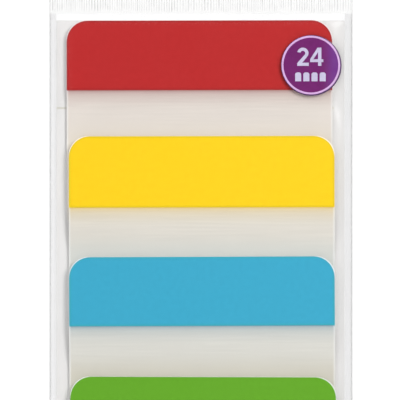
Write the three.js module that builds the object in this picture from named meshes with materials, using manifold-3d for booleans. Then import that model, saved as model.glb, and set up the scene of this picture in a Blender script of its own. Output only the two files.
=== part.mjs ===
// A pack of self-adhesive filing tabs, lying on its back as it would come to rest.
// Four pads of six tabs (red, yellow, blue, green) are shingled down a backing card,
// and the card is sealed in a flat sleeve of clear film with crimped ends.
// A round label with the count is stuck on the film over the red pad.
//
// Millimetres, +Z up, +Y towards the red end of the pack, +X to the right as the pack is read.
// The origin is the middle of the back of the pack, on the surface it lies on.
// v is the distance down the pack from the card's top edge, so Y = CARD_TOP_Y - v.

import * as THREE from "three";
import { mergeVertices } from "three/addons/utils/BufferGeometryUtils.js";
import Module from "manifold-3d";

// ---------------------------------------------------------------- driving dimensions

// tabs: 2 in by 1 1/2 in, a strip of film whose top third is a thicker, coloured, writable end
const TAB_W = 50.8;
const TAB_H = 38.1;
const COLOUR_H = 13.3; // height of the coloured end; the print run lets it vary a little by colour
const TAB_CORNER_R = 3.7; // the two corners of the coloured end
const T_COLOUR = 0.15; // thickness of the coloured end
const T_CLEAR = 0.09; // thickness of the clear, adhesive end
const LAYER_GAP = 0.015; // air and adhesive between two tabs of a pad
const TABS_PER_PAD = 6;
const SETTLE = 3.0; // below the coloured end, the clear ends close up over this length
const DROP = 6.2; // a pad comes down from the pad under it to the card over this length

// backing card
const CARD_W = 55.2;
const CARD_H = 109.0;
const CARD_T = 0.45;
const CARD_X = -0.1;

// clear film sleeve
const FILM = 0.06;
const WRAP_W = 58.1;
const SEAL_H = 7.75; // crimped seal at each end, beyond the smooth line
const LINE_H = 0.5; // smooth seal line between the pocket and the ridges
const RIDGES = 62; // crimp ridges across the width
const RIDGE_A = 0.09; // half the height of a ridge
const SEAL_T = 0.12; // two layers of film welded together
const LAP = 4.0; // half the width of the lap seam down the back
const LAP_GAP = 0.02; // the lap is an open hairline
const SLIT = 0.1;

// round count label
const LABEL_R = 5.8;
const LABEL_T = 0.08;
const LABEL_X = 21.1;
const LABEL_V = 8.66;
const LABEL_GAP = 0.015;

// ---------------------------------------------------------------- derived levels

const POCKET_TOP_V = -1.35; // the pocket runs from here...
const POCKET_END_V = 110.45; // ...to here
const WRAP_TOP_V = POCKET_TOP_V - SEAL_H;
const WRAP_END_V = POCKET_END_V + SEAL_H;
const CARD_TOP_Y = (WRAP_TOP_V + WRAP_END_V) / 2;
const CARD_Z = 2 * FILM + LAP_GAP + 0.03; // on top of the lap seam
const PAD_Z = CARD_Z + CARD_T + 0.02;
const PITCH_COLOUR = T_COLOUR + LAYER_GAP;
const PITCH_CLEAR = T_CLEAR + LAYER_GAP;
// how far a pad is lifted where it lies over the clear end of the pad above it
const LIFT = (TABS_PER_PAD - 1) * PITCH_CLEAR + T_CLEAR + 0.02;

// pads, from the top of the card down: v of the top edge, sideways offset, small turn in degrees,
// how much higher or lower the coloured end is, and whether the pad starts on top of another
const PADS = [
  { name: "red", v: 0.02, x: -0.32, turn: 0.12, extra: 0.05, colour: 0xbe2d2c, lifted: false },
  { name: "yellow", v: 22.15, x: 0.1, turn: 0.12, extra: 0.36, colour: 0xfdd713, lifted: true },
  { name: "blue", v: 45.22, x: 0.14, turn: 0.24, extra: -0.05, colour: 0x43adcf, lifted: true },
  { name: "green", v: 68.22, x: 0.43, turn: -0.17, extra: 0.0, colour: 0x66ab2a, lifted: true },
];
// sideways scatter of the tabs in a pad, from the card up
const SCATTER = [
  [0.05, -0.07, 0.02, 0.06, -0.04, 0.0],
  [-0.06, 0.04, -0.02, 0.07, -0.03, 0.0],
  [0.04, -0.05, 0.06, -0.02, 0.05, 0.0],
  [-0.03, 0.06, -0.06, 0.03, -0.05, 0.0],
];

// ---------------------------------------------------------------- solids

const wasm = await Module();
wasm.setup();

// a closed three.js geometry as a solid that can be joined and cut
function solid(geometry) {
  const g = geometry.index ? geometry.toNonIndexed() : geometry.clone();
  g.deleteAttribute("normal");
  g.deleteAttribute("uv");
  const merged = mergeVertices(g, 1e-4);
  return new wasm.Manifold(
    new wasm.Mesh({
      numProp: 3,
      vertProperties: new Float32Array(merged.attributes.position.array),
      triVerts: new Uint32Array(merged.index.array),
    }),
  );
}

// a solid back as a three.js geometry
function geometryOf(made) {
  const m = made.getMesh();
  const position = new Float32Array(m.numVert * 3);
  for (let i = 0; i < m.numVert; i++)
    position.set(m.vertProperties.subarray(i * m.numProp, i * m.numProp + 3), i * 3);
  const g = new THREE.BufferGeometry();
  g.setAttribute("position", new THREE.BufferAttribute(position, 3));
  g.setIndex(new THREE.BufferAttribute(new Uint32Array(m.triVerts), 1));
  g.computeVertexNormals();
  return g;
}

const basis = (x, y, z) =>
  new THREE.Matrix4().makeBasis(
    new THREE.Vector3(...x),
    new THREE.Vector3(...y),
    new THREE.Vector3(...z),
  );

// a side profile given as [v, z] points, carried across the pack from x0 to x1
function acrossX(points, x0, x1) {
  const shape = new THREE.Shape(points.map(([v, z]) => new THREE.Vector2(v, z)));
  const g = new THREE.ExtrudeGeometry(shape, { depth: x1 - x0, bevelEnabled: false });
  g.applyMatrix4(basis([0, -1, 0], [0, 0, 1], [-1, 0, 0]));
  return g.translate(x1, 0, 0);
}

// a cross-section given as [x, z] points, carried down the pack from v0 to v1
function downV(points, v0, v1) {
  const shape = new THREE.Shape(points.map(([x, z]) => new THREE.Vector2(x, z)));
  const g = new THREE.ExtrudeGeometry(shape, { depth: v1 - v0, bevelEnabled: false });
  g.applyMatrix4(basis([1, 0, 0], [0, 0, 1], [0, -1, 0]));
  return g.translate(0, -v0, 0);
}

function box(x0, x1, v0, v1, z0, z1) {
  return new THREE.BoxGeometry(x1 - x0, v1 - v0, z1 - z0).translate(
    (x0 + x1) / 2,
    -(v0 + v1) / 2,
    (z0 + z1) / 2,
  );
}

const smooth = (t) => {
  const u = Math.min(1, Math.max(0, t));
  return u * u * (3 - 2 * u);
};

// ---------------------------------------------------------------- a tab

// Outline of a tab seen from above, its top edge on v = 0: round corners on the coloured end,
// square ones on the clear end.
function tabOutline() {
  const w = TAB_W / 2,
    r = TAB_CORNER_R;
  const s = new THREE.Shape();
  s.moveTo(-w, -TAB_H);
  s.lineTo(w, -TAB_H);
  s.lineTo(w, -r);
  s.absarc(w - r, -r, r, 0, Math.PI / 2, false);
  s.lineTo(-w + r, 0);
  s.absarc(-w + r, -r, r, Math.PI / 2, Math.PI, false);
  s.closePath();
  return s;
}

// The tab's own height profile. layer is its place in the pad, 0 on the card, and z = 0 is the
// underside of its coloured end. The clear end settles onto the thinner clear end below it, and
// a lifted pad then comes down to the card past the edge of the pad that it lies on.
function tabProfile(layer, dropStart, colourH) {
  const stops = new Set([0, colourH, TAB_H]);
  if (layer > 0) for (let i = 1; i <= 4; i++) stops.add(colourH + (SETTLE * i) / 4);
  if (dropStart !== null) for (let i = 0; i <= 6; i++) stops.add(dropStart + (DROP * i) / 6);
  const under = (v) => {
    const settled = smooth((v - colourH) / SETTLE) * layer * (PITCH_COLOUR - PITCH_CLEAR);
    const dropped = dropStart === null ? 0 : smooth((v - dropStart) / DROP) * LIFT;
    return -settled - dropped;
  };
  const vs = [...stops].sort((a, b) => a - b);
  const bottom = vs.map((v) => [v, under(v)]);
  const top = [];
  for (const v of vs.slice().reverse()) {
    if (v > colourH) top.push([v, under(v) + T_CLEAR]);
    else if (v === colourH) top.push([v, under(v) + T_CLEAR], [v, under(v) + T_COLOUR]);
    else top.push([v, under(v) + T_COLOUR]);
  }
  return [...bottom, ...top];
}

function tabGeometry(layer, dropStart, shift, colourH) {
  const strip = solid(acrossX(tabProfile(layer, dropStart, colourH), -TAB_W, TAB_W));
  const outline = new THREE.ExtrudeGeometry(tabOutline(), {
    depth: 8,
    bevelEnabled: false,
    curveSegments: 7,
  }).translate(shift, 0, -4);
  return geometryOf(strip.intersect(solid(outline)));
}

// ---------------------------------------------------------------- the film sleeve

// Height of the film's outer face along the middle of the pack.
const CREST = [
  [POCKET_TOP_V - 0.15, 0.2],
  [POCKET_TOP_V, 0.24],
  [-0.9, 0.85],
  [-0.45, 1.36],
  [0, 1.74],
  [0.9, 1.95],
  [4, 2.13],
  [10, 2.22],
  [16, 2.3],
  [21, 2.36],
  [42, 2.38],
  [62, 2.38],
  [83, 2.36],
  [91, 2.14],
  [100, 1.76],
  [106.5, 1.46],
  [108.6, 1.28],
  [109.5, 0.94],
  [110.15, 0.46],
  [POCKET_END_V, 0.24],
  [POCKET_END_V + 0.15, 0.2],
];
const FOLD_Z = 0.22; // top of the sleeve's folded side edge

function along(table, v) {
  if (v <= table[0][0]) return table[0][1];
  for (let i = 1; i < table.length; i++)
    if (v <= table[i][0]) {
      const [a, za] = table[i - 1],
        [b, zb] = table[i];
      return za + ((zb - za) * (v - a)) / (b - a);
    }
  return table[table.length - 1][1];
}

// Height of the film's outer face anywhere: level over the pads, then rolling down to the fold.
// The shoulder lies further in over the red pad, which isn't lifted.
function filmZ(x, v) {
  const crest = along(CREST, v);
  const shoulder = 23 + 3 * smooth((v - 15.5) / 5.5) - 1.5 * smooth((v - 88) / 12);
  const out = (Math.abs(x) - shoulder) / (WRAP_W / 2 - shoulder);
  if (out <= 0) return crest;
  const fold = Math.min(FOLD_Z, crest);
  return fold + (crest - fold) * (1 - Math.pow(Math.min(1, out), 2.2));
}

const GRID_X = [0, 12, 18.5, 22, 23.5, 25, 26, 26.8, 27.6, 28.3, 28.85];
const gridX = [
  ...[...GRID_X].reverse().map((x) => -x),
  ...GRID_X.slice(1),
];
gridX.unshift(-WRAP_W / 2);
gridX.push(WRAP_W / 2);
const gridV = CREST.map(([v]) => v);

// The space under the film down to a level floor, drawn in by inset along the film's own normal
// or raised by lift: a box whose top face is a grid that takes the film's height.
function pocket(inset, lift, floor) {
  const nx = gridX.length - 1,
    nv = gridV.length - 1;
  const g = new THREE.BoxGeometry(1, 1, 1, nx, nv, 1);
  const p = g.attributes.position;
  const e = 0.02;
  for (let i = 0; i < p.count; i++) {
    const ix = Math.round((p.getX(i) + 0.5) * nx);
    const iv = Math.round((0.5 - p.getY(i)) * nv);
    let x = gridX[ix],
      v = gridV[iv],
      z = -6;
    const side = ix === 0 ? -1 : ix === nx ? 1 : 0;
    if (p.getZ(i) > 0) {
      z = filmZ(x, v) + lift;
      if (inset) {
        const xi = side ? x - side * e : x;
        const slopeX = (filmZ(xi + e, v) - filmZ(xi - e, v)) / (2 * e);
        const slopeV = (filmZ(x, v + e) - filmZ(x, v - e)) / (2 * e);
        const n = new THREE.Vector3(-slopeX, -slopeV, 1).normalize();
        // near the seals the two layers close on each other, so the inset eases to vertical there
        const ends = Math.min(1, Math.max(0, Math.min(v - gridV[0], gridV[nv] - v) / 0.6));
        x -= side ? side * inset : n.x * inset;
        v -= n.y * inset * ends;
        z -= n.z * inset * ends + inset * (1 - ends);
      }
    } else x -= side * inset;
    p.setXYZ(i, x, -v, z);
  }
  const level = floor + inset;
  return solid(g).intersect(solid(box(-40, 40, gridV[0] - 1, gridV[nv] + 1, level, 9)));
}

// One crimped end: welded film pressed into ridges that run along the pack, cut off straight.
function crimp(v0, v1) {
  const n = RIDGES * 2;
  const mid = RIDGE_A + SEAL_T / 2;
  const low = [],
    high = [];
  for (let i = 0; i <= n; i++) {
    const x = -WRAP_W / 2 + (WRAP_W * i) / n;
    const z = mid + (i % 2 ? RIDGE_A : -RIDGE_A);
    low.push([x, z - SEAL_T / 2]);
    high.unshift([x, z + SEAL_T / 2]);
  }
  return solid(downV([...low, ...high], v0, v1));
}

function wrapperGeometry() {
  const half = WRAP_W / 2;
  let made = pocket(0, 0, 0).subtract(pocket(FILM, 0, 0));
  // lap seam: the right-hand edge of the film tucks in over the left-hand one
  const seamTop = 2 * FILM + LAP_GAP;
  made = made.add(
    solid(box(-LAP, LAP + 0.2, POCKET_TOP_V, POCKET_END_V, FILM + LAP_GAP, seamTop)),
  );
  made = made.add(solid(box(LAP, LAP + 0.2, POCKET_TOP_V, POCKET_END_V, 0.01, seamTop)));
  made = made.subtract(
    solid(box(LAP - SLIT, LAP, POCKET_TOP_V + 0.6, POCKET_END_V - 0.6, -1, FILM + LAP_GAP)),
  );
  // end seals
  for (const [line, v0, v1] of [
    [POCKET_TOP_V - LINE_H / 2, WRAP_TOP_V, POCKET_TOP_V - 0.2],
    [POCKET_END_V + LINE_H / 2, POCKET_END_V + 0.2, WRAP_END_V],
  ]) {
    made = made.add(
      solid(box(-half, half, line - LINE_H / 2, line + LINE_H / 2, 0, 2 * RIDGE_A + SEAL_T)),
    );
    made = made.add(crimp(v0, v1));
  }
  return geometryOf(made);
}

function labelGeometry() {
  const disc = solid(
    new THREE.CylinderGeometry(LABEL_R, LABEL_R, 8, 48)
      .rotateX(Math.PI / 2)
      .translate(LABEL_X, -LABEL_V, 1),
  );
  return geometryOf(
    disc
      .intersect(pocket(0, LABEL_GAP + LABEL_T, -2))
      .subtract(pocket(0, LABEL_GAP, -3)),
  );
}

// ---------------------------------------------------------------- the pack

const pack = new THREE.Group();
pack.name = "filing_tab_pack";

// everything below is placed down from the card's top edge
const content = new THREE.Group();
content.position.set(0, CARD_TOP_Y, 0);
pack.add(content);

const film = new THREE.Mesh(
  wrapperGeometry(),
  new THREE.MeshStandardMaterial({
    color: 0xf4f6f7,
    roughness: 0.12,
    metalness: 0,
    transparent: true,
    opacity: 0.2,
  }),
);
film.name = "clear_wrapper";
content.add(film);

const cardShape = new THREE.Shape();
cardShape.moveTo(-CARD_W / 2, -CARD_H);
cardShape.lineTo(CARD_W / 2, -CARD_H);
cardShape.lineTo(CARD_W / 2, 0);
cardShape.lineTo(-CARD_W / 2, 0);
cardShape.closePath();
const card = new THREE.Mesh(
  new THREE.ExtrudeGeometry(cardShape, { depth: CARD_T, bevelEnabled: false }),
  new THREE.MeshStandardMaterial({ color: 0xeceaea, roughness: 0.8, metalness: 0 }),
);
card.name = "backing_card";
card.position.set(CARD_X, 0, CARD_Z);
content.add(card);

PADS.forEach((pad, row) => {
  const group = new THREE.Group();
  group.position.set(pad.x, -pad.v, PAD_Z + (pad.lifted ? LIFT : 0));
  group.rotation.z = THREE.MathUtils.degToRad(pad.turn);
  const colour = new THREE.MeshStandardMaterial({
    color: pad.colour,
    roughness: 0.45,
    metalness: 0,
  });
  // the pad leaves the one under it just past that one's lower edge
  const dropStart = pad.lifted ? PADS[row - 1].v + TAB_H - pad.v + 0.42 : null;
  for (let layer = 0; layer < TABS_PER_PAD; layer++) {
    const tab = new THREE.Mesh(
      tabGeometry(layer, dropStart, SCATTER[row][layer], COLOUR_H + pad.extra),
      colour,
    );
    // tab 1 is the top one, the first to be peeled off
    tab.name = `${pad.name}_tab_${TABS_PER_PAD - layer}`;
    tab.position.z = layer * PITCH_COLOUR;
    group.add(tab);
  }
  content.add(group);
});

const label = new THREE.Mesh(
  labelGeometry(),
  new THREE.MeshStandardMaterial({ color: 0x6e2370, roughness: 0.3, metalness: 0 }),
);
label.name = "count_label";
content.add(label);

export default pack;
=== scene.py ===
import math

import bmesh
import bpy
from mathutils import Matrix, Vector, noise


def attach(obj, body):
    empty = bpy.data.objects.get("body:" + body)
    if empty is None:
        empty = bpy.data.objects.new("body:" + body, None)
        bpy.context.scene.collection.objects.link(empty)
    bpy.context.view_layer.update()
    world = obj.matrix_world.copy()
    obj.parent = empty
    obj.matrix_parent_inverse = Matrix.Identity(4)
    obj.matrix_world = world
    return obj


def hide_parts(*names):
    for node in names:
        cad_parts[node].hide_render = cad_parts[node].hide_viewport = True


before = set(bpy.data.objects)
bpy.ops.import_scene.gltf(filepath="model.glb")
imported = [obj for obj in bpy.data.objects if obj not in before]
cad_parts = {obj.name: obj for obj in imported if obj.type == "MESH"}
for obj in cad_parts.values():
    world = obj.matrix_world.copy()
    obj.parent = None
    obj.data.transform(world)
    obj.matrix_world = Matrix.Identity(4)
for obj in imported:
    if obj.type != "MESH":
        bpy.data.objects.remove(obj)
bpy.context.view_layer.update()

# A sealed clear film pack of filing tabs, lying on its back: four shingled pads of tabs on a card,
# and a round label on the film. x runs across the pack and v down it from the card's top edge,
# both in millimetres; z is the height above the surface that the pack lies on.
MM = 0.001

# ------------------------------------------------------------------ sizes, as in the CAD frame

TAB_W, TAB_H, COLOUR_H, TAB_R = 50.8, 38.1, 13.3, 3.7
T_COLOUR, T_CLEAR, LAYER_GAP, LAYERS = 0.15, 0.09, 0.015, 6
SETTLE, DROP = 3.0, 6.2
PITCH_COLOUR, PITCH_CLEAR = T_COLOUR + LAYER_GAP, T_CLEAR + LAYER_GAP
LIFT = (LAYERS - 1) * PITCH_CLEAR + T_CLEAR + 0.02

CARD_W, CARD_H, CARD_T, CARD_X, CARD_Z = 55.2, 109.0, 0.45, -0.1, 0.17
PAD_Z = CARD_Z + CARD_T + 0.02
CARD_TOP_Y = 54.55

WRAP_W = 58.1
POCKET_TOP_V, POCKET_END_V = -1.35, 110.45
SEAL_H, LINE_H = 7.75, 0.5
RIDGES = 124
RIDGE_A, SEAL_T = 0.09, 0.12

LABEL_R, LABEL_T, LABEL_X, LABEL_V = 5.8, 0.08, 21.1, 8.66

PADS = [
    # name, v of the top edge, sideways offset, turn in degrees, lifted, colour, height of the coloured end
    ("red", 0.02, -0.32, 0.12, False, (0.430, 0.0135, 0.0140), COLOUR_H + 0.05),
    ("yellow", 22.15, 0.1, 0.12, True, (0.880, 0.568, 0.0030), COLOUR_H + 0.36),
    ("blue", 45.22, 0.14, 0.24, True, (0.036, 0.348, 0.520), COLOUR_H - 0.05),
    ("green", 68.22, 0.43, -0.17, True, (0.110, 0.342, 0.0130), COLOUR_H),
]
SCATTER = [
    [0.05, -0.07, 0.02, 0.06, -0.04, 0.0],
    [-0.06, 0.04, -0.02, 0.07, -0.03, 0.0],
    [0.04, -0.05, 0.06, -0.02, 0.05, 0.0],
    [-0.03, 0.06, -0.06, 0.03, -0.05, 0.0],
]


def smooth(t):
    u = min(1.0, max(0.0, t))
    return u * u * (3 - 2 * u)


# ------------------------------------------------------------------ node helpers


def material(name):
    m = bpy.data.materials.new(name)
    m.use_nodes = True
    nt = m.node_tree
    nt.nodes.clear()
    out = nt.nodes.new("ShaderNodeOutputMaterial")
    return m, nt, out


def principled(nt, colour=None, rough=0.5, ior=1.5, spec=0.5):
    p = nt.nodes.new("ShaderNodeBsdfPrincipled")
    if colour is not None:
        p.inputs["Base Color"].default_value = (*colour, 1)
    p.inputs["Roughness"].default_value = rough
    p.inputs["IOR"].default_value = ior
    p.inputs["Specular IOR Level"].default_value = spec
    return p


def math_node(nt, op, a, b=None, clamp=False):
    n = nt.nodes.new("ShaderNodeMath")
    n.operation = op
    n.use_clamp = clamp
    for i, v in enumerate((a, b)):
        if v is None:
            continue
        if isinstance(v, (int, float)):
            n.inputs[i].default_value = v
        else:
            nt.links.new(v, n.inputs[i])
    return n.outputs[0]


def mix_colour(nt, fac, a, b, blend="MIX"):
    n = nt.nodes.new("ShaderNodeMix")
    n.data_type = "RGBA"
    n.blend_type = blend
    n.clamp_factor = True
    for key, v in (("Factor_Float", fac), ("A_Color", a), ("B_Color", b)):
        sock = next(s for s in n.inputs if s.identifier == key)
        if isinstance(v, (int, float)):
            sock.default_value = v
        elif isinstance(v, tuple):
            sock.default_value = (*v, 1)
        else:
            nt.links.new(v, sock)
    return next(s for s in n.outputs if s.identifier == "Result_Color")


def noise_node(nt, vector, scale, detail=3.0, rough=0.5, stretch=None):
    if stretch is not None:
        mp = nt.nodes.new("ShaderNodeMapping")
        mp.inputs["Scale"].default_value = stretch
        nt.links.new(vector, mp.inputs["Vector"])
        vector = mp.outputs[0]
    n = nt.nodes.new("ShaderNodeTexNoise")
    n.inputs["Scale"].default_value = scale
    n.inputs["Detail"].default_value = detail
    n.inputs["Roughness"].default_value = rough
    nt.links.new(vector, n.inputs["Vector"])
    return n.outputs["Fac"]


def ramp(nt, fac, lo, hi, to_lo=0.0, to_hi=1.0):
    n = nt.nodes.new("ShaderNodeMapRange")
    n.interpolation_type = "SMOOTHSTEP"
    n.inputs["From Min"].default_value = lo
    n.inputs["From Max"].default_value = hi
    n.inputs["To Min"].default_value = to_lo
    n.inputs["To Max"].default_value = to_hi
    nt.links.new(fac, n.inputs["Value"])
    return n.outputs["Result"]


def object_xyz(nt):
    tc = nt.nodes.new("ShaderNodeTexCoord")
    sep = nt.nodes.new("ShaderNodeSeparateXYZ")
    nt.links.new(tc.outputs["Object"], sep.inputs[0])
    return tc.outputs["Object"], sep.outputs


def sheet_uv(nt):
    """The tab's own x and v in millimetres, carried by its UV map."""
    uv = nt.nodes.new("ShaderNodeUVMap")
    uv.uv_map = "sheet"
    scale = nt.nodes.new("ShaderNodeVectorMath")
    scale.operation = "SCALE"
    scale.inputs["Scale"].default_value = 100.0
    nt.links.new(uv.outputs[0], scale.inputs[0])
    sep = nt.nodes.new("ShaderNodeSeparateXYZ")
    nt.links.new(scale.outputs[0], sep.inputs[0])
    return scale.outputs[0], sep.outputs


def from_side(nt):
    """Millimetres from the nearer side edge of a tab."""
    n = nt.nodes.new("ShaderNodeAttribute")
    n.attribute_type = "GEOMETRY"
    n.attribute_name = "inset"
    return n.outputs["Fac"]


def bump(nt, height, distance, strength=1.0):
    b = nt.nodes.new("ShaderNodeBump")
    b.inputs["Strength"].default_value = strength
    b.inputs["Distance"].default_value = distance
    nt.links.new(height, b.inputs["Height"])
    return b.outputs["Normal"]


# ------------------------------------------------------------------ mesh helpers


def make_object(name, verts, faces, materials, face_mats=None, uvs=None, shade=True):
    """verts in pack coordinates (x, v, z) in millimetres; uvs are one (x, v) pair per vertex."""
    me = bpy.data.meshes.new(name)
    me.from_pydata([(x * MM, (CARD_TOP_Y - v) * MM, z * MM) for x, v, z in verts], [], faces)
    for m in materials:
        me.materials.append(m)
    if face_mats is not None:
        me.polygons.foreach_set("material_index", face_mats)
    if uvs is not None:
        layer = me.uv_layers.new(name="sheet")
        for loop in me.loops:
            u, w = uvs[loop.vertex_index]
            layer.data[loop.index].uv = (u / 100, w / 100)
    me.polygons.foreach_set("use_smooth", [shade] * len(me.polygons))
    me.validate()
    me.update()
    ob = bpy.data.objects.new(name, me)
    bpy.context.scene.collection.objects.link(ob)
    return ob


def recalc(ob):
    bm = bmesh.new()
    bm.from_mesh(ob.data)
    bmesh.ops.recalc_face_normals(bm, faces=bm.faces)
    bm.to_mesh(ob.data)
    bm.free()


def bevel(ob, width, segments=2, angle=50):
    b = ob.modifiers.new("edge", "BEVEL")
    b.width = width * MM
    b.segments = segments
    b.limit_method = "ANGLE"
    b.angle_limit = math.radians(angle)
    b.harden_normals = True
    return b


# ------------------------------------------------------------------ camera, floor and light

# a long lens, as the photo shows no side of anything
LENS = 400.0
cam_data = bpy.data.cameras.new("camera")
cam_data.type = "PERSP"
cam_data.sensor_width = 36.0
cam_data.lens = LENS
cam = bpy.data.objects.new("camera", cam_data)
bpy.context.scene.collection.objects.link(cam)
FRAME_MM = 400 / 5.226
cam.location = (-0.19 * MM, (CARD_TOP_Y - 34.39) * MM, (FRAME_MM * LENS / 36 + 1.5) * MM)
cam.rotation_euler = (0, 0, 0)
cam_data.clip_start = 0.01
cam_data.clip_end = 20
bpy.context.scene.camera = cam

scene = bpy.context.scene
scene.view_settings.view_transform = "Standard"
scene.view_settings.look = "None"
scene.view_settings.exposure = 0.0
scene.view_settings.gamma = 1.0
scene.cycles.transparent_max_bounces = 96
scene.cycles.max_bounces = 8
scene.cycles.diffuse_bounces = 4
scene.cycles.caustics_reflective = False
scene.cycles.caustics_refractive = False

world = bpy.data.worlds.new("studio")
scene.world = world
world.use_nodes = True
bg = world.node_tree.nodes["Background"]
bg.inputs["Strength"].default_value = 1.03
# a soft white tent that is open straight above and a little brighter on its left side
wt = world.node_tree
tent = wt.nodes.new("ShaderNodeTexCoord")
tent_xyz = wt.nodes.new("ShaderNodeSeparateXYZ")
wt.links.new(tent.outputs["Generated"], tent_xyz.inputs[0])
opening = wt.nodes.new("ShaderNodeMapRange")
opening.interpolation_type = "SMOOTHSTEP"
for key, value in (("From Min", 0.88), ("From Max", 0.975), ("To Min", 1.0), ("To Max", 0.06)):
    opening.inputs[key].default_value = value
wt.links.new(tent_xyz.outputs[2], opening.inputs["Value"])
lean = wt.nodes.new("ShaderNodeMath")
lean.operation = "MULTIPLY_ADD"
wt.links.new(tent_xyz.outputs[0], lean.inputs[0])
lean.inputs[1].default_value = -0.42
lean.inputs[2].default_value = 1.0
level = wt.nodes.new("ShaderNodeMath")
level.operation = "MULTIPLY"
wt.links.new(opening.outputs["Result"], level.inputs[0])
wt.links.new(lean.outputs[0], level.inputs[1])
tone = wt.nodes.new("ShaderNodeVectorMath")
tone.operation = "SCALE"
tone.inputs[0].default_value = (0.985, 0.99, 1.0)
wt.links.new(level.outputs[0], tone.inputs["Scale"])
wt.links.new(tone.outputs[0], bg.inputs["Color"])


def area_light(name, azimuth, elevation, distance, size, power, colour=(1, 1, 1)):
    """A square soft light; azimuth 0 is +X and 90 is +Y."""
    data = bpy.data.lights.new(name, "AREA")
    data.shape = "SQUARE"
    data.size = size
    data.energy = power
    data.color = colour
    ob = bpy.data.objects.new(name, data)
    az, el = math.radians(azimuth), math.radians(elevation)
    to = Vector((math.cos(az) * math.cos(el), math.sin(az) * math.cos(el), math.sin(el)))
    target = Vector((0, 0.02, 0))
    ob.location = target + to * distance
    ob.rotation_euler = to.to_track_quat("Z", "Y").to_euler()
    scene.collection.objects.link(ob)
    return ob


area_light("key", 34, 52, 0.95, 0.34, 5.25, (1.0, 0.995, 0.985))

floor_me = bpy.data.meshes.new("floor")
floor_me.from_pydata([(-3, -3, 0), (3, -3, 0), (3, 3, 0), (-3, 3, 0)], [], [(0, 1, 2, 3)])
floor = bpy.data.objects.new("floor", floor_me)
scene.collection.objects.link(floor)
floor.location.z = -0.02 * MM
m, nt, out = material("floor_white")
p = principled(nt, (0.32, 0.32, 0.32), 0.9, spec=0.05)
p.inputs["Emission Color"].default_value = (1, 1, 1, 1)
p.inputs["Emission Strength"].default_value = 0.70
nt.links.new(p.outputs[0], out.inputs[0])
floor_me.materials.append(m)

# ------------------------------------------------------------------ tab materials


def coloured_material(name, colour, index, colour_h):
    """Satin printed film: a very slight mottle in the ink and a fine orange-peel surface."""
    m, nt, out = material(name + "_ink")
    vec, xyz = sheet_uv(nt)
    mottle = noise_node(nt, vec, 0.9 + 0.1 * index, 4, 0.65)
    grain = noise_node(nt, vec, 9.0, 2, 0.6)
    lo = tuple(c * 0.975 for c in colour)
    hi = tuple(min(1.0, c * 1.02 + 0.0015) for c in colour)
    base = mix_colour(nt, ramp(nt, mottle, 0.3, 0.7), lo, hi)
    # painted edge shade, partly the ink's own duller edge: the colour turns darker and duller in the last half
    # millimetre before the coloured end's edges.
    # d is the distance to the outline, round its two corners too, or to the lower edge
    side = math_node(nt, "MAXIMUM", math_node(nt, "SUBTRACT", TAB_R, from_side(nt)), 0.0)
    above = math_node(nt, "MAXIMUM", math_node(nt, "SUBTRACT", TAB_R, xyz[1]), 0.0)
    reach = math_node(nt, "ADD", math_node(nt, "MULTIPLY", side, side), math_node(nt, "MULTIPLY", above, above))
    d = math_node(nt, "SUBTRACT", TAB_R, math_node(nt, "SQRT", reach))
    d = math_node(nt, "MINIMUM", d, math_node(nt, "SUBTRACT", colour_h, xyz[1]))
    edge = tuple(min(1.0, c * k) for c, k in zip(colour, EDGE_INK_SHADE[name]))
    base = mix_colour(nt, ramp(nt, d, 0.10, 0.62, 1.0, 0.0), base, edge)
    p = principled(nt, None, 0.42, 1.46, 0.25)
    nt.links.new(base, p.inputs["Base Color"])
    nt.links.new(ramp(nt, grain, 0.2, 0.8, 0.36, 0.46), p.inputs["Roughness"])
    nt.links.new(bump(nt, grain, 0.004 * MM, 0.6), p.inputs["Normal"])
    nt.links.new(p.outputs[0], out.inputs[0])
    return m


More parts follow.
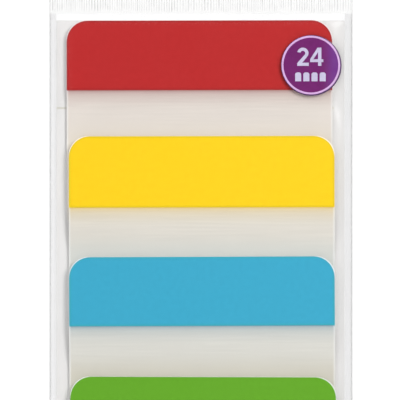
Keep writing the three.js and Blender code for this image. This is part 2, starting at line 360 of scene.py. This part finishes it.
def clear_material(name, body, colour_h, slope_shade_from, slope_shade_to):
    """Frosted adhesive film: faint streaks across the tab, with painted shadow and colour bleed below the ink, painted
    shade where the pad comes down to the card and painted light along the cut edges.
    """
    m, nt, out = material(name + "_frost")
    vec, xyz = sheet_uv(nt)
    v = xyz[1]
    streak = noise_node(nt, vec, 1.0, 4, 0.62, stretch=(0.07, 2.6, 1.0))
    cloud = noise_node(nt, vec, 0.16, 3, 0.55, stretch=(0.6, 1.0, 1.0))
    lo = tuple(c * 0.955 for c in body)
    hi = tuple(min(1.0, c * 1.03) for c in body)
    base = mix_colour(nt, ramp(nt, streak, 0.3, 0.7), lo, hi)
    base = mix_colour(nt, ramp(nt, cloud, 0.35, 0.7, 0.0, 0.35), base, tuple(c * 0.97 for c in body))
    # painted shade: duller where a pad has come down to the card and has no other pad under it
    slope_shade_mask = ramp(nt, v, slope_shade_from, slope_shade_to)
    base = mix_colour(nt, slope_shade_mask, base, tuple(c * k for c, k in zip(body, SLOPE_SHADE[name])))
    # painted shadow and painted colour bleed in the frosted film below the coloured end, darker and tinted with the
    # ink, fading as 1 / (1 + 1.5 d + 0.6 d^2)
    d = math_node(nt, "MAXIMUM", math_node(nt, "SUBTRACT", v, colour_h), 0.0)
    fall = math_node(nt, "ADD", math_node(nt, "MULTIPLY", math_node(nt, "MULTIPLY", d, d), 0.6), 1.0)
    fall = math_node(nt, "ADD", fall, math_node(nt, "MULTIPLY", d, 1.5))
    shadow_bleed_mask = math_node(nt, "DIVIDE", 1.0, fall)
    shadow_bleed_mask = math_node(nt, "MULTIPLY", shadow_bleed_mask, ramp(nt, d, 1.5, 4.5, 1.0, 0.0))
    base = mix_colour(nt, shadow_bleed_mask, base, BORDER_SHADOW_BLEED[name])
    # painted light: the film is made lighter along its cut edges, standing in for the light that frosted edges scatter
    base = mix_colour(nt, ramp(nt, from_side(nt), 0.05, 0.42, 0.62, 0.0), base, (0.90, 0.895, 0.885))
    p = principled(nt, None, 0.5, 1.46, 0.3)
    nt.links.new(base, p.inputs["Base Color"])
    p.inputs["Alpha"].default_value = 0.70
    nt.links.new(bump(nt, streak, 0.01 * MM, 0.5), p.inputs["Normal"])
    nt.links.new(p.outputs[0], out.inputs[0])
    return m


def core_material(name, ink):
    """The bare white film that shows past the ink along the cut edge of the coloured end."""
    m, nt, out = material(name + "_core")
    vec, xyz = sheet_uv(nt)
    speck = noise_node(nt, vec, 3.0, 3, 0.6)
    lo = tuple(0.70 * 0.90 + 0.30 * c for c in ink)
    hi = tuple(0.86 * 0.92 + 0.14 * c for c in ink)
    p = principled(nt, None, 0.45, 1.46, 0.25)
    nt.links.new(mix_colour(nt, ramp(nt, speck, 0.3, 0.7), lo, hi), p.inputs["Base Color"])
    nt.links.new(p.outputs[0], out.inputs[0])
    return m


# painted edge shade, partly the ink's own edge: colour factors for the band along each coloured end's outline
EDGE_INK_SHADE = {
    "red": (0.80, 0.95, 0.95),
    "yellow": (0.820, 0.915, 2.6),
    "blue": (1.08, 1.00, 0.84),
    "green": (1.03, 1.0, 1.2),
}
BODY = {
    "red": (0.815, 0.755, 0.695),
    "yellow": (0.815, 0.780, 0.705),
    "blue": (0.780, 0.770, 0.712),
    "green": (0.785, 0.775, 0.715),
}
# painted shade for the frosted film where each pad has come down to the card
SLOPE_SHADE = {
    "red": (0.985, 0.985, 0.955),
    "yellow": (0.870, 0.920, 0.955),
    "blue": (0.880, 0.855, 0.800),
    "green": (0.92, 0.92, 0.90),
}
# painted shadow and colour bleed just below each coloured end
BORDER_SHADOW_BLEED = {
    "red": (0.485, 0.245, 0.235),
    "yellow": (0.870, 0.655, 0.235),
    "blue": (0.320, 0.450, 0.510),
    "green": (0.400, 0.520, 0.330),
}

# ------------------------------------------------------------------ tabs

CORNER_STEPS = 9
COLS = 20
# the ink stops this far inside the cut edge and turns its corners on a larger radius
INK_IN, INK_R = 0.016, 4.0


def ink_half(v, w):
    """Half the width of the ink at v, where the tab itself is 2 w wide."""
    if v < INK_IN:
        return w - 0.01
    turn_v = INK_IN + INK_R - v
    if turn_v <= 0:
        return TAB_W / 2 - INK_IN
    return min(w - 0.01, TAB_W / 2 - INK_IN - INK_R + math.sqrt(max(0.0, INK_R ** 2 - turn_v ** 2)))


def build_tab(row, layer, inks):
    name, pad_v, pad_x, turn, lifted, colour, colour_h = PADS[row]
    drop = PADS[row - 1][1] + TAB_H - pad_v + 0.42 if lifted else None
    half = TAB_W / 2

    def under(v):
        z = -smooth((v - colour_h) / SETTLE) * layer * (PITCH_COLOUR - PITCH_CLEAR)
        if drop is not None:
            z -= smooth((v - drop) / DROP) * LIFT
        return z

    # rows down the tab: (v, half width, thickness, is the strip below it coloured)
    rows = []
    for i in range(CORNER_STEPS + 1):
        a = math.pi / 2 * i / CORNER_STEPS
        rows.append((TAB_R * (1 - math.cos(a)), half - TAB_R + TAB_R * math.sin(a), T_COLOUR, True))
    rows.insert(1, (INK_IN, half - TAB_R + math.sqrt(TAB_R ** 2 - (TAB_R - INK_IN) ** 2), T_COLOUR, True))
    for v in (4.2, 5.5, 8.0, 10.5, 12.4):
        rows.append((v, half, T_COLOUR, True))
    rows.append((colour_h - 0.05, half, T_COLOUR, True))
    rows.append((colour_h, half, T_CLEAR, False))
    stops = {colour_h + 0.25, TAB_H}
    for i in range(1, 9):
        stops.add(colour_h + SETTLE * i / 8)
    for v in (19, 22, 26, 30, 34, 36.5):
        stops.add(float(v))
    if drop is not None:
        for i in range(13):
            stops.add(drop + DROP * i / 12)
    for v in sorted(stops):
        rows.append((v, half, T_CLEAR, False))

    shift = SCATTER[row][layer]
    ca, sa = math.cos(math.radians(turn)), math.sin(math.radians(turn))
    base_z = PAD_Z + (LIFT if lifted else 0) + layer * PITCH_COLOUR
    verts, uvs, insets = [], [], []

    def add(x, v, z):
        # turn about the middle of the pad's top edge, anticlockwise as the pack is read
        px, py = x + shift, -v
        verts.append((pad_x + px * ca - py * sa, pad_v - (px * sa + py * ca), base_z + z))
        uvs.append((x + 30 + 61 * row + 7.3 * layer, v))
        insets.append(half - abs(x))

    # a narrow column of bare film down each side, and the ink between them
    n = COLS + 3

    def columns(v, w):
        inner = ink_half(v, w) if v < colour_h else w - INK_IN
        return [-w] + [inner * (2 * j / COLS - 1) for j in range(COLS + 1)] + [w]

    for lifted_by in (1, 0):
        for v, w, t, _ in rows:
            for x in columns(v, w):
                add(x, v, under(v) + t * lifted_by)
    faces, mats = [], []
    low = len(rows) * n
    for i in range(len(rows) - 1):
        inked = rows[i][3]
        for j in range(n - 1):
            a, b = i * n + j, (i + 1) * n + j
            bare = i == 0 or j in (0, n - 2)
            mat = 1 if not inked else 2 if bare else 0
            faces.append((a, b, b + 1, a + 1))
            faces.append((low + a, low + a + 1, low + b + 1, low + b))
            mats += [mat, mat]
        for a, b, flip in ((i * n, (i + 1) * n, False), (i * n + n - 1, (i + 1) * n + n - 1, True)):
            f = (a, low + a, low + b, b)
            faces.append(f[::-1] if flip else f)
            mats.append(2 if inked else 1)
    last = (len(rows) - 1) * n
    for j in range(n - 1):
        faces.append((j, j + 1, low + j + 1, low + j))
        faces.append((last + j, low + last + j, low + last + j + 1, last + j + 1))
        mats += [2, 1]
    ob = make_object(f"tab_{name}_{LAYERS - layer}", verts, faces, inks, mats, uvs)
    recalc(ob)
    ob.data.attributes.new("inset", "FLOAT", "POINT").data.foreach_set("value", insets)
    ob.data.set_sharp_from_angle(angle=math.radians(35))
    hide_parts(f"{name}_tab_{LAYERS - layer}")
    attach(ob, "root")


for row, pad in enumerate(PADS):
    inks = [
        coloured_material(pad[0], pad[5], row, pad[6]),
        clear_material(pad[0], BODY[pad[0]], pad[6], 17.8, 23.0),
        core_material(pad[0], pad[5]),
    ]
    for layer in range(LAYERS):
        build_tab(row, layer, inks)

# ------------------------------------------------------------------ backing card


def card_material():
    """Coated card: bright white, a trace of fibre, and one fine ochre rule printed across it."""
    m, nt, out = material("card_stock")
    vec, xyz = object_xyz(nt)
    fibre = noise_node(nt, vec, 2600, 4, 0.65)
    cloud = noise_node(nt, vec, 90, 3, 0.5)
    base = mix_colour(nt, ramp(nt, fibre, 0.3, 0.7), (0.662, 0.652, 0.640), (0.692, 0.681, 0.668))
    base = mix_colour(nt, ramp(nt, cloud, 0.3, 0.7, 0.0, 0.5), base, (0.666, 0.657, 0.648))
    rule_y = (CARD_TOP_Y - 16.78) * MM
    off = math_node(nt, "ABSOLUTE", math_node(nt, "SUBTRACT", xyz[1], rule_y))
    line = ramp(nt, off, 0.15 * MM, 0.25 * MM, 1.0, 0.0)
    end = ramp(nt, xyz[0], 25.40 * MM, 25.48 * MM, 1.0, 0.0)
    line = math_node(nt, "MULTIPLY", line, end)
    # printed on the front only
    front = ramp(nt, xyz[2], (CARD_Z + CARD_T - 0.12) * MM, (CARD_Z + CARD_T - 0.06) * MM)
    line = math_node(nt, "MULTIPLY", line, front)
    line = math_node(nt, "MULTIPLY", line, 0.62)
    base = mix_colour(nt, line, base, (0.500, 0.480, 0.390))
    p = principled(nt, None, 0.55, 1.45, 0.4)
    nt.links.new(base, p.inputs["Base Color"])
    nt.links.new(bump(nt, fibre, 0.006 * MM, 0.4), p.inputs["Normal"])
    nt.links.new(p.outputs[0], out.inputs[0])
    return m


def build_card():
    nx, nv = 24, 48
    x0, x1 = CARD_X - CARD_W / 2, CARD_X + CARD_W / 2
    verts, faces = [], []
    for z in (CARD_Z + CARD_T, CARD_Z):
        for i in range(nv + 1):
            for j in range(nx + 1):
                verts.append((x0 + (x1 - x0) * j / nx, CARD_H * i / nv, z))
    n, low = nx + 1, (nx + 1) * (nv + 1)
    for i in range(nv):
        for j in range(nx):
            a, b = i * n + j, (i + 1) * n + j
            faces.append((a, b, b + 1, a + 1))
            faces.append((low + a, low + a + 1, low + b + 1, low + b))
        a, b = i * n, (i + 1) * n
        faces.append((a, low + a, low + b, b))
        faces.append((b + nx, low + b + nx, low + a + nx, a + nx))
    last = nv * n
    for j in range(nx):
        faces.append((j, j + 1, low + j + 1, low + j))
        faces.append((last + j, low + last + j, low + last + j + 1, last + j + 1))
    ob = make_object("card_sheet", verts, faces, [card_material()])
    recalc(ob)
    bevel(ob, 0.05, 2)
    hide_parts("backing_card")
    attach(ob, "root")


build_card()

# ------------------------------------------------------------------ the film's shape

CREST = [
    (POCKET_TOP_V - 0.15, 0.2), (POCKET_TOP_V, 0.24), (-0.9, 0.85), (-0.45, 1.36), (0, 1.74),
    (0.9, 1.95), (4, 2.13), (10, 2.22), (16, 2.3), (21, 2.36), (42, 2.38), (62, 2.38), (83, 2.36),
    (91, 2.14), (100, 1.76), (106.5, 1.46), (108.6, 1.28), (109.5, 0.94), (110.15, 0.46),
    (POCKET_END_V, 0.24), (POCKET_END_V + 0.15, 0.2),
]
FOLD_Z = 0.22


def along(table, v):
    if v <= table[0][0]:
        return table[0][1]
    for (a, za), (b, zb) in zip(table, table[1:]):
        if v <= b:
            return za + (zb - za) * (v - a) / (b - a)
    return table[-1][1]


def crest(v):
    # the table's corners eased over about a millimetre
    w = 0.45 if v < 4 or v > 104 else 1.6
    return sum(along(CREST, v + w * k / 3) * c for k, c in ((-3, 1), (-2, 2), (-1, 3), (0, 4), (1, 3), (2, 2), (3, 1))) / 16


def wave(x, seed):
    """Smooth noise of one variable, about -1 to 1."""
    return 2 * noise.noise(Vector((x, seed * 7.31, 0.37 * seed)))


def pick(k, seed):
    """A fixed number from 0 to 1 for each k."""
    t = math.sin(k * 12.9898 + seed * 78.233) * 437.5453
    return t - math.floor(t)


def film_z(x, v):
    """The film's outer face: tight over the raised coloured ends, slack between them."""
    c = crest(v)
    shoulder = 23 + 3 * smooth((v - 15.5) / 5.5) - 1.5 * smooth((v - 88) / 12)
    out = (abs(x) - shoulder) / (WRAP_W / 2 - shoulder)
    # slack over the clear ends
    for top, depth in ((13.6, 0.16), (36.2, 0.11), (59.2, 0.11)):
        t = (v - top) / 8.6
        if 0 < t < 1:
            c -= depth * math.sin(math.pi * t) ** 2 * (1 - smooth((abs(x) - 14) / 10))
    z = c
    if out > 0:
        fold = min(FOLD_Z, c)
        o = min(1.0, out)
        z = fold + (c - fold) * (1 - o ** 2.2)
        # long soft creases beside the pads
        crease = math.sin(math.pi * o) ** 2 * (0.03 * wave(v * 0.23, 3 if x > 0 else 4) + 0.008 * wave(v * 0.9, 5 if x > 0 else 6))
        z += max(-0.05, crease)
    # short gathers running out of the end seals
    for seal, sign in ((POCKET_TOP_V, 1), (POCKET_END_V, -1)):
        d = (v - seal) * sign
        if 0 < d < 9:
            lift = math.exp(-d / 2.2) * smooth(d / 0.7)
            z += lift * (0.035 * wave(x * 0.62, 11 + sign) + 0.02 * wave(x * 1.7, 15 + sign))
    return z


def film_material(name, haze, tint, dark, broken_to, strips=False):
    """Clear film: passes light through with a slight tint and reflects more at a shallow angle.
    The shade attribute carries painted shade where the film is folded, drawn in or crimped, and darkens where it lies
    double, taking more of the light that passes."""
    m, nt, out = material(name)
    vec, xyz = object_xyz(nt)
    lw = nt.nodes.new("ShaderNodeLayerWeight")
    lw.inputs["Blend"].default_value = 0.5
    f = math_node(nt, "POWER", lw.outputs["Facing"], 4.0)
    f = math_node(nt, "MULTIPLY", f, 0.8)
    f = math_node(nt, "ADD", f, 0.004, True)
    shade = nt.nodes.new("ShaderNodeAttribute")
    shade.attribute_type = "GEOMETRY"
    shade.attribute_name = "shade"
    broken = ramp(nt, noise_node(nt, vec, 1900, 2, 0.6, stretch=(1.0, 0.3, 1.0)), 0.3, 0.62, broken_to, 1.0)
    level = math_node(nt, "MULTIPLY", shade.outputs["Fac"], broken, True)
    if strips:
        # painted shade: the film is darker beside the card, on both sides up to the card's edges, more on the right
        # than the left; the film lies double there
        for sign, edge, amount, fold in ((1, 1.50, 0.22, 0.04), (-1, 1.30, 0.15, 0.04)):
            d = math_node(nt, "SUBTRACT", WRAP_W / 2 * MM, math_node(nt, "MULTIPLY", xyz[0], float(sign)))
            level = math_node(nt, "ADD", level, ramp(nt, d, (edge - 0.04) * MM, (edge + 0.05) * MM, amount, 0.0))
            level = math_node(nt, "ADD", level, ramp(nt, d, 0.2 * MM, 0.8 * MM, fold, 0.0))
    clear = nt.nodes.new("ShaderNodeBsdfTransparent")
    nt.links.new(mix_colour(nt, level, tint, dark), clear.inputs["Color"])
    gloss = nt.nodes.new("ShaderNodeBsdfGlossy")
    gloss.inputs["Roughness"].default_value = 0.17
    gloss.inputs["Color"].default_value = (1, 1, 1, 1)
    mixed = nt.nodes.new("ShaderNodeMixShader")
    nt.links.new(f, mixed.inputs[0])
    nt.links.new(clear.outputs[0], mixed.inputs[1])
    nt.links.new(gloss.outputs[0], mixed.inputs[2])
    milk = nt.nodes.new("ShaderNodeBsdfDiffuse")
    milk.inputs["Color"].default_value = (0.92, 0.92, 0.92, 1)
    hazy = nt.nodes.new("ShaderNodeMixShader")
    smear = noise_node(nt, vec, 160, 3, 0.6)
    nt.links.new(ramp(nt, smear, 0.3, 0.75, haze * 0.7, haze * 1.3), hazy.inputs[0])
    nt.links.new(mixed.outputs[0], hazy.inputs[1])
    nt.links.new(milk.outputs[0], hazy.inputs[2])
    nt.links.new(hazy.outputs[0], out.inputs[0])
    return m


def build_film():
    half = WRAP_W / 2
    coarse = RIDGES
    fine = RIDGES * 4
    xs = [-half + WRAP_W * j / coarse for j in range(coarse + 1)]
    xf = [-half + WRAP_W * j / fine for j in range(fine + 1)]
    # rows of the pocket, closer together near the seals
    vs = [POCKET_TOP_V]
    v = POCKET_TOP_V
    while True:
        d = min(v - POCKET_TOP_V, POCKET_END_V - v)
        v += 0.12 + min(0.98, 0.11 * d)
        if v > POCKET_END_V - 0.08:
            break
        vs.append(v)
    vs.append(POCKET_END_V)
    verts, faces, mats, shades = [], [], [], []

    def vert(x, v, z, shade=0.0):
        verts.append((x, v, z))
        shades.append(shade)
        return len(verts) - 1

    def fold_shade(x):
        # painted shade: a grey line where the film turns back on itself
        return 0.07 * math.exp(-((half - abs(x)) / 0.3) ** 2)

    def neck_shade(x, v):
        # and painted shade where it is drawn in towards the ends of the side folds, far stronger on the left
        d = half - abs(x)
        d_end = min(v - POCKET_TOP_V, POCKET_END_V - v)
        most = 0.02 if x > 0 else 0.13
        return most * (1 - smooth(d / 4.2)) * (1 - smooth((d_end - 0.9) / 0.9))

    def lap_shade(x, v):
        # down the back, the film lies double across the lap and shows a line along its free edge
        if v < 0.6 or v > CARD_H - 0.6:
            return 0.0
        return 0.75 if abs(x - 3.95) < 0.3 else 0.22 if abs(x) < 4.0 else 0.0

    def bottom_z(x, v):
        # the lap seam stands up as a hairline down the back
        lap = max(0.0, 1 - abs(x - 3.95) / 0.3)
        rise = max(0.0, (abs(x) - 28.6) / (half - 28.6))
        return 0.05 * lap + 0.10 * rise ** 2

    # pocket: top and bottom sheets that share their side folds
    top, low = [], []
    for k, v in enumerate(vs):
        end = k in (0, len(vs) - 1)
        row_t = []
        for j, x in enumerate(xs):
            if j in (0, coarse):
                row_t.append(vert(x, v, 0.11, max(fold_shade(x), neck_shade(x, v))))
            else:
                z = 0.24 if end else max(film_z(x, v), 0.16)
                row_t.append(vert(x, v, z, max(fold_shade(x), neck_shade(x, v))))
        top.append(row_t)
    for k, v in enumerate(vs):
        row_l = [top[k][0]]
        for j in range(1, coarse):
            row_l.append(vert(xs[j], v, bottom_z(xs[j], v), lap_shade(xs[j], v)))
        row_l.append(top[k][coarse])
        low.append(row_l)
    for k in range(len(vs) - 1):
        for j in range(coarse):
            faces.append((top[k][j], top[k + 1][j], top[k + 1][j + 1], top[k][j + 1]))
            mats.append(0)
            faces.append((low[k][j], low[k][j + 1], low[k + 1][j + 1], low[k + 1][j]))
            mats.append(0)

    # crimped ends
    phases = [0.0]
    for j in range(fine):
        phases.append(phases[-1] + (1 + 0.16 * wave(j * 0.05, 21)) * math.pi / 2)
    scale = RIDGES * 2 * math.pi / phases[-1]

    def ridge(j, seed):
        amp = RIDGE_A * (0.82 + 0.22 * wave(xf[j] * 0.8, seed))
        return amp * math.cos(phases[j] * scale)

    for sign, start, row_t, row_l in ((-1, POCKET_TOP_V, top[0], low[0]), (1, POCKET_END_V, top[-1], low[-1])):
        steps = [0.2, 0.45, 0.75, 1.15, 1.7, 2.5, 3.8, 5.6, SEAL_H]
        prev_t = prev_l = None
        for si, d in enumerate(steps):
            v = start + sign * d
            cur_t, cur_l = [], []
            for j in range(fine + 1):
                begin = 0.12 + 0.45 * (0.5 + 0.5 * wave(xf[j] * 0.9, 61 + sign))
                depth = smooth((d - begin) / 0.4)
                z = RIDGE_A + SEAL_T / 2 + depth * ridge(j, 31 + sign)
                z += 0.012 * wave(xf[j] * 0.35 + d * 0.3, 41 + sign) * smooth(d / 3)
                # painted shade: each ridge gets a darker line down one flank, stronger and longer on some than others,
                # and the seal darkens towards its side edges
                k = int(phases[j] * scale / (2 * math.pi))
                line = max(0.0, math.sin(phases[j] * scale)) ** 1.5 * depth
                line *= (0.25 + 0.30 * pick(k, 5 + sign)) * (0.88 + 0.45 * wave(d * 0.9 + k * 5.3, 53))
                line = max(0.0, min(1.0, line)) + 0.2 * math.exp(-(half - abs(xf[j])) / 0.3)
                if j in (0, fine):
                    e = vert(xf[j], v, z, line)
                    cur_t.append(e)
                    cur_l.append(e)
                else:
                    cur_t.append(vert(xf[j], v, z + SEAL_T / 2, line))
                    cur_l.append(vert(xf[j], v, z - SEAL_T / 2, line))
            if prev_t is None:
                # four fine columns meet each coarse one along the weld line
                for j in range(coarse):
                    for src, cur, up in ((row_t, cur_t, True), (row_l, cur_l, False)):
                        a, b = src[j], src[j + 1]
                        c = cur[4 * j:4 * j + 5]
                        tris = [(a, c[0], c[1]), (a, c[1], c[2]), (a, c[2], b), (b, c[2], c[3]), (b, c[3], c[4])]
                        for t in tris:
                            if len(set(t)) == 3:
                                faces.append(t)
                                mats.append(1)
            else:
                for j in range(fine):
                    faces.append((prev_t[j], cur_t[j], cur_t[j + 1], prev_t[j + 1]))
                    faces.append((prev_l[j], prev_l[j + 1], cur_l[j + 1], cur_l[j]))
                    mats += [1, 1]
            prev_t, prev_l = cur_t, cur_l
        for j in range(fine):
            q = [prev_t[j], prev_l[j], prev_l[j + 1], prev_t[j + 1]]
            q = [a for i, a in enumerate(q) if a not in q[:i]]
            if len(q) > 2:
                faces.append(tuple(q))
                mats.append(1)
    film = film_material("clear_film", 0.0015, (0.995, 0.995, 0.996), (0.822, 0.820, 0.821), 0.86, True)
    seal = film_material("sealed_film", 0.02, (0.9885, 0.9885, 0.9875), (0.868, 0.868, 0.868), 0.84)
    ob = make_object("film_sleeve", verts, faces, [film, seal], mats)
    recalc(ob)
    ob.data.attributes.new("shade", "FLOAT", "POINT").data.foreach_set("value", shades)
    wall = ob.modifiers.new("wall", "SOLIDIFY")
    wall.thickness = 0.04 * MM
    wall.offset = -1
    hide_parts("clear_wrapper")
    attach(ob, "root")
    return ob


build_film()

# ------------------------------------------------------------------ round label


def label_material(name, colour, rough, spec=0.3):
    m, nt, out = material(name)
    vec, xyz = object_xyz(nt)
    mottle = noise_node(nt, vec, 700, 3, 0.6)
    base = mix_colour(nt, ramp(nt, mottle, 0.3, 0.7), tuple(c * 0.93 for c in colour), tuple(c * 1.06 for c in colour))
    if name == "label_purple":
        # painted light: the purple turns violet on its right-hand side, most where the label bends
        side = ramp(nt, xyz[0], 23.2 * MM, 25.6 * MM, 0.0, 0.85)
        base = mix_colour(nt, side, base, (0.112, 0.0070, 0.185))
    p = principled(nt, None, rough, 1.5, spec)
    nt.links.new(base, p.inputs["Base Color"])
    p.inputs["Coat Weight"].default_value = 0.05
    p.inputs["Coat Roughness"].default_value = 0.15
    nt.links.new(bump(nt, mottle, 0.003 * MM, 0.4), p.inputs["Normal"])
    nt.links.new(p.outputs[0], out.inputs[0])
    return m


def label_z(x, v):
    """Top face of the label, lying on the film with a slight ridge where it bends at the pad's end."""
    z = film_z(x, v) + 0.02 + LABEL_T
    return z + 0.03 * math.exp(-((x - 23.0) / 0.9) ** 2)


def build_label():
    purple = label_material("label_purple", (0.125, 0.0085, 0.110), 0.42, 0.22)
    rim = label_material("label_rim", (0.070, 0.030, 0.100), 0.34)
    lilac = label_material("label_lilac", (0.455, 0.425, 0.575), 0.45)
    ring_mat = label_material("label_ring", (0.545, 0.335, 0.600), 0.45)
    radii = [(0.0, 0), (0.6, 0), (1.3, 0), (2.0, 0), (2.7, 0), (3.4, 0), (4.1, 0), (4.7, 0), (5.25, 0),
             (5.27, 1), (5.61, 1), (5.63, 2), (5.77, 2), (LABEL_R, 2)]
    around = 144
    verts, faces, mats = [], [], []

    def ring(r, dz):
        start = len(verts)
        # the ring is printed a little off the middle of the disc, up and to the left
        off = 0.085 if 1 < r < 5.7 else 0.0
        for k in range(around):
            a = 2 * math.pi * k / around
            x, v = LABEL_X - off + r * math.cos(a), LABEL_V - off * 0.8 - r * math.sin(a)
            verts.append((x, v, label_z(x, v) + dz))
        return start

    verts.append((LABEL_X, LABEL_V, label_z(LABEL_X, LABEL_V)))
    prev = None
    for r, mat in radii[1:]:
        dz = -0.02 if r == LABEL_R else 0.0
        cur = ring(r, dz)
        for k in range(around):
            k2 = (k + 1) % around
            if prev is None:
                faces.append((0, cur + k, cur + k2))
            else:
                faces.append((prev + k, cur + k, cur + k2, prev + k2))
            mats.append(mat)
        prev = cur
    under = ring(LABEL_R - 0.02, -LABEL_T)
    for k in range(around):
        k2 = (k + 1) % around
        faces.append((prev + k, under + k, under + k2, prev + k2))
        mats.append(2)
    for r in (4.6, 3.2, 1.8):
        cur = ring(r, -LABEL_T)
        for k in range(around):
            k2 = (k + 1) % around
            faces.append((under + k, cur + k, cur + k2, under + k2))
            mats.append(0)
        under = cur
    verts.append((LABEL_X, LABEL_V, label_z(LABEL_X, LABEL_V) - LABEL_T))
    c = len(verts) - 1
    for k in range(around):
        faces.append((under + k, c, under + (k + 1) % around))
        mats.append(0)
    ob = make_object("label_disc", verts, faces, [purple, ring_mat, rim], mats)
    recalc(ob)
    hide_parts("count_label")
    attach(ob, "root")
    return lilac


def drape(ob, lift):
    """Cuts a flat printed shape into narrow strips and lays it on the label."""
    bm = bmesh.new()
    bm.from_mesh(ob.data)
    for axis, lo, hi, step in ((0, LABEL_X - 6, LABEL_X + 6, 0.45), (1, CARD_TOP_Y - LABEL_V - 6, CARD_TOP_Y - LABEL_V + 6, 0.45)):
        pos = lo
        while pos < hi:
            co = [0, 0, 0]
            co[axis] = pos * MM
            no = [0, 0, 0]
            no[axis] = 1
            bmesh.ops.bisect_plane(bm, geom=bm.verts[:] + bm.edges[:] + bm.faces[:], dist=1e-7, plane_co=co, plane_no=no)
            pos += step
    bmesh.ops.remove_doubles(bm, verts=bm.verts[:], dist=1.5e-6)
    bmesh.ops.dissolve_degenerate(bm, edges=bm.edges[:], dist=1.5e-6)
    for vt in bm.verts:
        x, v = vt.co.x / MM, CARD_TOP_Y - vt.co.y / MM
        up = 1 if vt.co.z > 0 else 0
        vt.co.z = (label_z(x, v) + (lift if up else -0.01)) * MM
    bm.to_mesh(ob.data)
    bm.free()


def digit_outlines():
    """A bold 2 and a bold 4, one unit high, as closed outlines; the 4's second one is its opening."""
    cx, cy, outer, inner = 0.305, 0.695, 0.305, 0.13
    two = []
    for i in range(25):
        a = math.radians(168 - 206 * i / 24)
        two.append((cx + outer * math.cos(a), cy + outer * math.sin(a)))
    two += [(0.268, 0.172), (0.625, 0.172), (0.625, 0.0), (0.0, 0.0), (0.0, 0.148)]
    for i in range(21):
        a = math.radians(-45 + 213 * i / 20)
        two.append((cx + inner * math.cos(a), cy + inner * math.sin(a)))
    x = 0.70
    four = [(0.425, 0), (0.605, 0), (0.605, 0.205), (0.71, 0.205), (0.71, 0.36), (0.605, 0.36), (0.605, 1.0),
            (0.40, 1.0), (0.0, 0.37), (0.0, 0.205), (0.425, 0.205)]
    hole = [(0.425, 0.36), (0.425, 0.765), (0.172, 0.36)]
    return [two, [(x + px, py) for px, py in four], [(x + px, py) for px, py in hole]]


def build_number(lilac):
    curve = bpy.data.curves.new("number_curve", "CURVE")
    curve.dimensions = "2D"
    curve.fill_mode = "BOTH"
    curve.extrude = 0.01 * MM
    for outline in digit_outlines():
        line = curve.splines.new("POLY")
        line.points.add(len(outline) - 1)
        for pt, (px, py) in zip(line.points, outline):
            pt.co = (px * MM, py * MM, 0, 1)
        line.use_cyclic_u = True
    flat = bpy.data.objects.new("number_flat", curve)
    scene.collection.objects.link(flat)
    bpy.context.view_layer.update()
    deps = bpy.context.evaluated_depsgraph_get()
    me = bpy.data.meshes.new_from_object(flat.evaluated_get(deps))
    bpy.data.objects.remove(flat)
    xs = [v.co.x for v in me.vertices]
    ys = [v.co.y for v in me.vertices]
    # fitted to the space that the count takes on the label
    want_w, want_h = 5.0, 3.48
    kx, ky = want_w * MM / (max(xs) - min(xs)), want_h * MM / (max(ys) - min(ys))
    cx, cy = (max(xs) + min(xs)) / 2, (max(ys) + min(ys)) / 2
    for v in me.vertices:
        v.co.x = (v.co.x - cx) * kx + 20.89 * MM
        v.co.y = (v.co.y - cy) * ky + (CARD_TOP_Y - 7.0) * MM
    me.materials.clear()
    me.materials.append(lilac)
    ob = bpy.data.objects.new("label_number", me)
    scene.collection.objects.link(ob)
    bm = bmesh.new()
    bm.from_mesh(me)
    bmesh.ops.remove_doubles(bm, verts=bm.verts, dist=1e-8)
    bm.to_mesh(me)
    bm.free()
    drape(ob, 0.012)
    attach(ob, "root")


def build_icons(lilac):
    """Four small rounded tabs under the number."""
    w, h, r, pitch = 1.16, 1.7, 0.42, 1.56
    bm = bmesh.new()
    for k in range(4):
        cx = 20.92 + (k - 1.5) * pitch
        cv = 10.85
        pts = [(cx - w / 2, cv + h / 2), (cx + w / 2, cv + h / 2)]
        for i in range(9):
            a = math.pi / 2 * i / 8
            pts.append((cx + w / 2 - r + r * math.cos(a), cv - h / 2 + r - r * math.sin(a)))
        for i in range(9):
            a = math.pi / 2 * (1 + i / 8)
            pts.append((cx - w / 2 + r + r * math.cos(a), cv - h / 2 + r - r * math.sin(a)))
        upper = [bm.verts.new((x * MM, (CARD_TOP_Y - v) * MM, 0.01 * MM)) for x, v in pts]
        lower = [bm.verts.new((x * MM, (CARD_TOP_Y - v) * MM, -0.01 * MM)) for x, v in pts]
        bm.faces.new(upper)
        bm.faces.new(lower[::-1])
        for i in range(len(pts)):
            j = (i + 1) % len(pts)
            bm.faces.new((upper[i], lower[i], lower[j], upper[j]))
    bmesh.ops.recalc_face_normals(bm, faces=bm.faces)
    me = bpy.data.meshes.new("label_icons")
    bm.to_mesh(me)
    bm.free()
    me.materials.append(lilac)
    ob = bpy.data.objects.new("label_icons", me)
    scene.collection.objects.link(ob)
    drape(ob, 0.012)
    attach(ob, "root")


lilac = build_label()
build_number(lilac)
build_icons(lilac)
